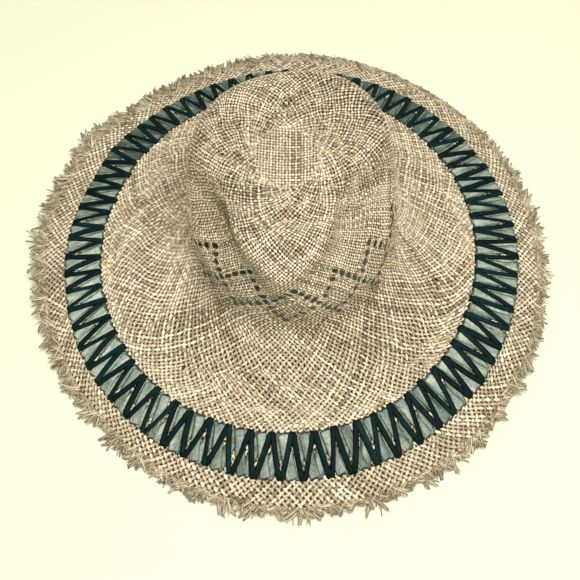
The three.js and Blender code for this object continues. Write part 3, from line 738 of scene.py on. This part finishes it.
def fray(ends, material):
    """The frayed edge: each strand runs out, bends and splits into fibres."""
    edge = Strands()
    ring = PERIMETERS[300] / TAU

    def run_out(family, turn, length, reach, width, tint, lean, back):
        """One straw from a little inside the weave to its loose end."""
        steps = 5
        s = np.linspace(0, 1, steps)
        outward = 1 - 0.5 * float(fray_depth(turn)) / FRAY_DEEPER
        heading = math.radians(45) * family * outward + lean
        bend = rng.normal(0, 0.35)
        angle = heading + bend * s
        step = (reach + back) / (steps - 1)
        lengths = length - back * math.cos(heading)
        lengths = lengths + np.concatenate([[0], np.cumsum(np.cos(angle[1:]) * step)])
        turns = turn - back * math.sin(heading) / ring
        turns = turns + np.concatenate([[0], np.cumsum(np.sin(angle[1:]) * step)]) / ring
        point = lookup(POINTS, turns, lengths)
        normal = lookup(NORMALS, turns, lengths)
        lift = rng.uniform(-0.6, 0.9) + rng.normal(0.2, 1.1) * s**2
        point = point + normal * lift[:, None]
        point[:, 2] = np.maximum(point[:, 2], 0.5)
        taper = width * (1 - FRAY_TAPER * s**2)
        edge.add(point, normal, taper, min(0.7, width * 0.5), tint, FIBRE_SECTION, over=1.0)

    clumps = ripple(np.array([end[1] for end in ends]), 21)
    leans = ripple(np.array([end[1] for end in ends]), 22)
    for n, (family, turn, length, width, tint) in enumerate(ends):
        reach = FRAY_REACH + FRAY_DEEP_REACH * float(fray_depth(turn)) + FRAY_CLUMP * clumps[n]
        reach = np.clip(reach + rng.normal(0, 1.2), *FRAY_REACHES)
        lean = 0.3 * leans[n] + rng.normal(0, 0.14)
        run_out(family, turn, length, reach, width * 0.85, tint, lean, 1.0)
        for share, size, spread in FIBRES:
            place = turn + rng.normal(0, spread) / ring
            shade = np.clip(tint + rng.normal(0, 0.15, 3), 0, 1)
            away = lean + rng.normal(0, 0.12 * spread)
            far = reach * share * rng.uniform(0.7, 1.1)
            run_out(family, place, length, far, width * size, shade, away, rng.uniform(0, 4))
    edge.build("frayed_edge", "straw_fringe", "bare_straw", material)


def on_brim(direction, along, lift):
    """Points so many mm above the hat's surface, and the surface's normals there."""
    point = surface(direction, along)
    normal = surface_normal(direction, along)
    return point + normal * np.broadcast_to(lift, along.shape)[..., None], normal


def turn_places(sway, reach):
    """Direction and ring place of each turn of a zigzag, outer turns first, a little uneven."""
    count = TURNS * 2
    k = np.arange(count)
    direction = k / count * TAU + rng.normal(0, sway, count) / 200
    along = np.where(k % 2, INNER, OUTER) + rng.normal(0, reach, count)
    return direction, along


def lay_ribbon(strips, start, end, legs, k, width, tint, twist=0.0, fold=0.0):
    """One leg of a zigzag, from turn to turn, its ends tucked under the straw."""
    s = np.linspace(0, 1, legs["points"])
    direction = start[0] + (end[0] - start[0]) * s
    along = start[1] + (end[1] - start[1]) * s
    tuck = np.clip(1 - np.minimum(s, 1 - s) / TUCK, 0, 1) ** 1.5
    ripples = 0.12 * np.sin(s * math.pi * rng.uniform(2, 5) + rng.uniform(0, TAU))
    height = legs["lift"] + legs["step"] * (k % 2) - tuck * legs["dive"] + ripples
    point, normal = on_brim(direction, along, height)
    along_path = np.gradient(point, axis=0)
    side = np.cross(normal, along_path)
    side /= np.linalg.norm(side, axis=1, keepdims=True)
    normal = normal + side * (twist * np.sin(math.pi * s))[:, None]
    normal /= np.linalg.norm(normal, axis=1, keepdims=True)
    narrowed = width * (1 - 0.1 * tuck)
    # where a leg tucks under the straw, fold lowers its over value, and the ribbon's material paints shade
    # there
    strips.add(point, normal, narrowed, legs["thickness"], tint, RIBBON_SECTION, over=1 - fold * (tuck > 0.1))


def pale_light(direction):
    """Lightness of the pale ribbon at a direction round the brim: random, less its painted shade there."""
    light = rng.uniform(0.4, 0.8)
    for at, spread, share in PALE_RIBBON_PAINTED_SHADE:
        away = math.remainder(direction - math.radians(at), TAU)
        light -= share * math.exp(-((away / math.radians(spread)) ** 2))
    return light


def ribbons(pale_material, dark_material):
    """The pale zigzag, and the dark one over it."""
    pale, dark = Strands(), Strands()
    count = TURNS * 2
    direction, along = turn_places(0.9, 0.018)
    half = TAU / count
    # The pale ribbon turns half a period away, so its legs cross the dark ones
    sides = (OUTER - 0.01, INNER + 0.01)
    for k in range(count):
        m = (k + 1) % count
        wrap = TAU if m == 0 else 0.0
        first = (direction[k] + half, sides[k % 2])
        last = (direction[m] + wrap + half, sides[1 - k % 2])
        tint = np.array([pale_light(direction[k]), rng.uniform(), rng.uniform()])
        width = PALE_LEGS["width"] * rng.uniform(0.9, 1.06)
        lay_ribbon(pale, first, last, PALE_LEGS, k, width, tint, fold=FOLD_SHADE)
    for k in range(count):
        m = (k + 1) % count
        wrap = TAU if m == 0 else 0.0
        start = (direction[k] + TURN_GAP, along[k])
        end = (direction[m] + wrap - TURN_GAP, along[m])
        tint = np.array([rng.uniform(0.2, 0.8), rng.uniform(), rng.uniform()])
        width = DARK_LEGS["width"] * rng.uniform(0.9, 1.12)
        lay_ribbon(dark, start, end, DARK_LEGS, k, width, tint, twist=rng.normal(0, DARK_TWIST))
    pale.build("pale_zigzag", "pale_ribbon", "pale_ribbon", pale_material)
    dark.build("dark_zigzag", "zigzag_ribbon", "dark_ribbon", dark_material)


def new_material(name):
    material = bpy.data.materials.new(name)
    material.use_nodes = True
    nodes = material.node_tree.nodes
    links = material.node_tree.links
    nodes.clear()
    out = nodes.new("ShaderNodeOutputMaterial")
    shader = nodes.new("ShaderNodeBsdfPrincipled")
    links.new(shader.outputs["BSDF"], out.inputs["Surface"])
    return material, nodes, links, shader


def new_group(name, inputs, outputs):
    """A node group with named number sockets."""
    group = bpy.data.node_groups.new(name, "ShaderNodeTree")
    for side, names in (("INPUT", inputs), ("OUTPUT", outputs)):
        for socket in names:
            group.interface.new_socket(socket, in_out=side, socket_type="NodeSocketFloat")
    nodes = group.nodes
    return group, nodes, group.links, nodes.new("NodeGroupInput"), nodes.new("NodeGroupOutput")


def math_node(nodes, links, operation, *inputs):
    """A maths node; each input is a number or the output of another node."""
    node = nodes.new("ShaderNodeMath")
    node.operation = operation
    for socket, value in zip(node.inputs, inputs):
        if isinstance(value, (int, float)):
            socket.default_value = value
        else:
            links.new(value, socket)
    return node.outputs[0]


def join_node(nodes, links, **axes):
    """A vector whose named axes come from other nodes."""
    node = nodes.new("ShaderNodeCombineXYZ")
    for axis, value in axes.items():
        links.new(value, node.inputs[axis])
    return node.outputs[0]


def noise_node(nodes, links, vector, scale, detail, roughness=0.5):
    node = nodes.new("ShaderNodeTexNoise")
    node.inputs["Scale"].default_value = scale
    node.inputs["Detail"].default_value = detail
    node.inputs["Roughness"].default_value = roughness
    links.new(vector, node.inputs["Vector"])
    return node.outputs["Fac"]


def range_node(nodes, links, value, start, end, low, high):
    """A value from start to end becomes low to high, and stays there past the ends."""
    node = nodes.new("ShaderNodeMapRange")
    for name, number in (("From Min", start), ("From Max", end), ("To Min", low), ("To Max", high)):
        node.inputs[name].default_value = number
    links.new(value, node.inputs["Value"])
    return node.outputs["Result"]


def mix_node(nodes, links, blend, factor, first, second):
    """A mix of two colours; each input is a value or the output of another node."""
    node = nodes.new("ShaderNodeMix")
    node.data_type = "RGBA"
    node.blend_type = blend
    for name, value in (("Factor", factor), ("A", first), ("B", second)):
        if isinstance(value, (float, tuple)):
            node.inputs[name].default_value = value
        else:
            links.new(value, node.inputs[name])
    return node.outputs["Result"]


def colour_ramp(nodes, links, value, stops):
    node = nodes.new("ShaderNodeValToRGB")
    elements = node.color_ramp.elements
    while len(elements) < len(stops):
        elements.new(0.5)
    for element, (place, colour) in zip(elements, stops):
        element.position = place
        element.color = (*colour, 1)
    links.new(value, node.inputs[0])
    return node.outputs["Color"]


def strand_map(nodes, links):
    """Where a point lies along and round its strand."""
    uv = nodes.new("ShaderNodeUVMap")
    uv.uv_map = "grain"
    apart = nodes.new("ShaderNodeSeparateXYZ")
    links.new(uv.outputs["UV"], apart.inputs[0])
    return apart.outputs


def tint_node(nodes):
    """The strand's lightness with its painted shade, its hue and grain as red, green and blue, and its
    crossings as alpha.
    """
    tint = nodes.new("ShaderNodeAttribute")
    tint.attribute_name = "tint"
    return tint.outputs


def split_tint(nodes, links):
    """The red, green and blue of the strand's tint."""
    split = nodes.new("ShaderNodeSeparateColor")
    links.new(tint_node(nodes)["Color"], split.inputs[0])
    return split.outputs


def grain_group():
    """Grain along a straw or a thread from its own map: fine fibres and slow changes, each 0..1."""
    sockets = (("Length scale", "Across scale"), ("Fine", "Slow"))
    group, nodes, links, inputs, outputs = new_group("Grain along a strand", *sockets)
    along = strand_map(nodes, links)
    tints = split_tint(nodes, links)
    apart = math_node(nodes, links, "MULTIPLY", tints["Blue"], 37.0)
    length = math_node(nodes, links, "MULTIPLY", along["X"], inputs.outputs["Length scale"])
    across = math_node(nodes, links, "MULTIPLY", along["Y"], inputs.outputs["Across scale"])
    place = join_node(nodes, links, X=length, Y=across, Z=apart)
    for name, scale in (("Fine", 1.0), ("Slow", 0.12)):
        links.new(noise_node(nodes, links, place, scale, 2.0), outputs.inputs[name])
    return group


def hole_group():
    """Shade on a strand beside the holes of the weave, uneven: midway between crossings and at its edges."""
    group, nodes, links, inputs, outputs = new_group("Shade beside holes", ("Edge share",), ("Shade",))
    over = math_node(nodes, links, "MULTIPLY_ADD", tint_node(nodes)["Alpha"], 2.0, -1.0)
    between = math_node(nodes, links, "SUBTRACT", 1.0, math_node(nodes, links, "ABSOLUTE", over))
    wave = math_node(nodes, links, "PINGPONG", strand_map(nodes, links)["Y"], 0.25)
    edge = math_node(nodes, links, "MULTIPLY_ADD", wave, -4.0, 1.0)
    part = math_node(nodes, links, "MULTIPLY", edge, inputs.outputs["Edge share"])
    rest = math_node(nodes, links, "SUBTRACT", 1.0, inputs.outputs["Edge share"])
    both = math_node(nodes, links, "ADD", part, rest)
    shade = math_node(nodes, links, "POWER", math_node(nodes, links, "MULTIPLY", between, both), SHADE_POWER)

    place = nodes.new("ShaderNodeTexCoord").outputs["Object"]
    noise = noise_node(nodes, links, place, **SHADE_NOISE)
    uneven = math_node(nodes, links, "MULTIPLY_ADD", noise, 2.6, -0.3)

    # Deeper on the crown than on the brim, and less deep round the tip
    apart = nodes.new("ShaderNodeSeparateXYZ")
    links.new(place, apart.inputs[0])
    crown = range_node(nodes, links, apart.outputs["Z"], *SHADE_BY_HEIGHT)
    away = nodes.new("ShaderNodeVectorMath")
    away.operation = "DISTANCE"
    flat = join_node(nodes, links, X=apart.outputs["X"], Y=apart.outputs["Y"])
    links.new(flat, away.inputs[0])
    away.inputs[1].default_value = (*to_frame([*TIP_CENTRE, 0.0])[:2], 0.0)
    top = range_node(nodes, links, away.outputs["Value"], *SHADE_FROM_TIP)
    depth = math_node(nodes, links, "MULTIPLY", crown, top)
    deep = math_node(nodes, links, "MULTIPLY", uneven, depth)
    links.new(math_node(nodes, links, "MULTIPLY", shade, deep), outputs.inputs["Shade"])
    return group


def strand_material(name, stops, texture, bump_strength, rough, specular):
    """A material whose colour runs through the stops by a strand's tint, slow changes and fibres."""
    material, nodes, links, shader = new_material(name)
    tints = split_tint(nodes, links)
    grain = nodes.new("ShaderNodeGroup")
    grain.node_tree = GRAIN
    grain.inputs["Length scale"].default_value = texture["scales"][0]
    grain.inputs["Across scale"].default_value = texture["scales"][1]
    sources = (tints["Red"], grain.outputs["Slow"], grain.outputs["Fine"])
    value = 0.5 - sum(texture["shares"]) / 2
    for source, share in zip(sources, texture["shares"]):
        value = math_node(nodes, links, "MULTIPLY_ADD", source, share, value)
    colour = colour_ramp(nodes, links, value, stops)
    bump = nodes.new("ShaderNodeBump")
    bump.inputs["Strength"].default_value = bump_strength
    bump.inputs["Distance"].default_value = GRAIN_DEPTH
    links.new(grain.outputs["Fine"], bump.inputs["Height"])
    links.new(bump.outputs["Normal"], shader.inputs["Normal"])
    shader.inputs["Roughness"].default_value = rough
    shader.inputs["Specular IOR Level"].default_value = specular
    return material, nodes, links, shader, colour, tints


def darken(nodes, links, colour, shader, edge_share, depth, shade):
    """Mixes a colour with its shade beside holes or in folds, into the shader's base colour."""
    beside = nodes.new("ShaderNodeGroup")
    beside.node_tree = HOLES
    beside.inputs["Edge share"].default_value = edge_share
    amount = math_node(nodes, links, "MULTIPLY", beside.outputs["Shade"], depth)
    links.new(mix_node(nodes, links, "MIX", amount, colour, shade), shader.inputs["Base Color"])


def straw_material(name, stops, rough, depth):
    """Straw with a hue of its own for each strand, darker beside the holes."""
    parts = strand_material(name, stops, STRAW_GRAIN, 0.4, rough, 0.4)
    material, nodes, links, shader, colour, tints = parts
    hue = colour_ramp(nodes, links, tints["Green"], STRAW_HUES)
    warm = mix_node(nodes, links, "MULTIPLY", 0.9, colour, hue)
    darken(nodes, links, warm, shader, 0.7, depth, STRAW_SHADE)
    return material


def ribbon_material(name, stops, texture, rough, specular):
    """Woven ribbon: fine threads, a slow change of tone along it, and painted shade at its folds where the
    legs tuck under the straw.
    """
    parts = strand_material(name, stops, texture, 0.5, rough, specular)
    material, nodes, links, shader, colour, _ = parts
    darken(nodes, links, colour, shader, 0.0, 2.0, RIBBON_SHADE)
    return material


def floor_material(name, colour, rough):
    material, nodes, links, shader = new_material(name)
    noise = nodes.new("ShaderNodeTexNoise")
    noise.inputs["Scale"].default_value = 3.0
    darker = tuple(c * 0.985 for c in colour)
    pale = colour_ramp(nodes, links, noise.outputs["Fac"], [(0.0, colour), (1.0, darker)])
    links.new(pale, shader.inputs["Base Color"])
    shader.inputs["Roughness"].default_value = rough
    return material


def add_to_scene(thing):
    bpy.context.scene.collection.objects.link(thing)
    return thing


def lay_floor():
    mesh = bpy.data.meshes.new("floor")
    corners = [(x * FLOOR_HALF, y * FLOOR_HALF, 0) for x, y in ((-1, -1), (1, -1), (1, 1), (-1, 1))]
    mesh.from_pydata(corners, [], [(0, 1, 2, 3)])
    mesh.materials.append(floor_material("pale floor", FLOOR_COLOUR, 0.9))
    floor = add_to_scene(bpy.data.objects.new("floor", mesh))
    floor.location.z = -FLOOR_GAP


def hang_lights():
    """A wide soft light above, a little in front and to the right, and a faint one from the left."""
    for name, place, size, power in LIGHTS:
        data = bpy.data.lights.new(name, "AREA")
        data.shape = "SQUARE"
        data.size = size
        data.energy = power
        light = add_to_scene(bpy.data.objects.new(name, data))
        light.location = place
        light.rotation_euler = (Vector((0, 0, 0.05)) - Vector(place)).to_track_quat("-Z", "Y").to_euler()
    world = bpy.data.worlds.new("studio")
    world.use_nodes = True
    world.node_tree.nodes["Background"].inputs["Color"].default_value = SKY_COLOUR
    world.node_tree.nodes["Background"].inputs["Strength"].default_value = SKY_STRENGTH
    bpy.context.scene.world = world
    bpy.context.scene.view_settings.view_transform = "Standard"


def place_camera():
    """The camera at the photo's angle."""
    data = bpy.data.cameras.new("camera")
    data.sensor_width = 36
    data.lens = CAMERA_LENS
    data.clip_start = 0.01
    camera = add_to_scene(bpy.data.objects.new("camera", data))
    camera.location = CAMERA_PLACE
    camera.rotation_euler = (Vector(CAMERA_AIM) - camera.location).to_track_quat("-Z", "Y").to_euler()
    bpy.context.scene.camera = camera


GRAIN = grain_group()
HOLES = hole_group()
straw = straw_material("woven straw", STRAW_STOPS, 0.55, 2.3)
bare_straw = straw_material("bare straw", BARE_STOPS, 0.6, 0.5)
pale_cloth = ribbon_material("sheer sea-green ribbon", PALE_STOPS, PALE_GRAIN, 0.6, 0.3)
dark_cloth = ribbon_material("dark petrol ribbon", DARK_STOPS, DARK_GRAIN, 0.65, 0.07)

ends = weave(straw)
fray(ends, bare_straw)
ribbons(pale_cloth, dark_cloth)
lay_floor()
hang_lights()
place_camera()
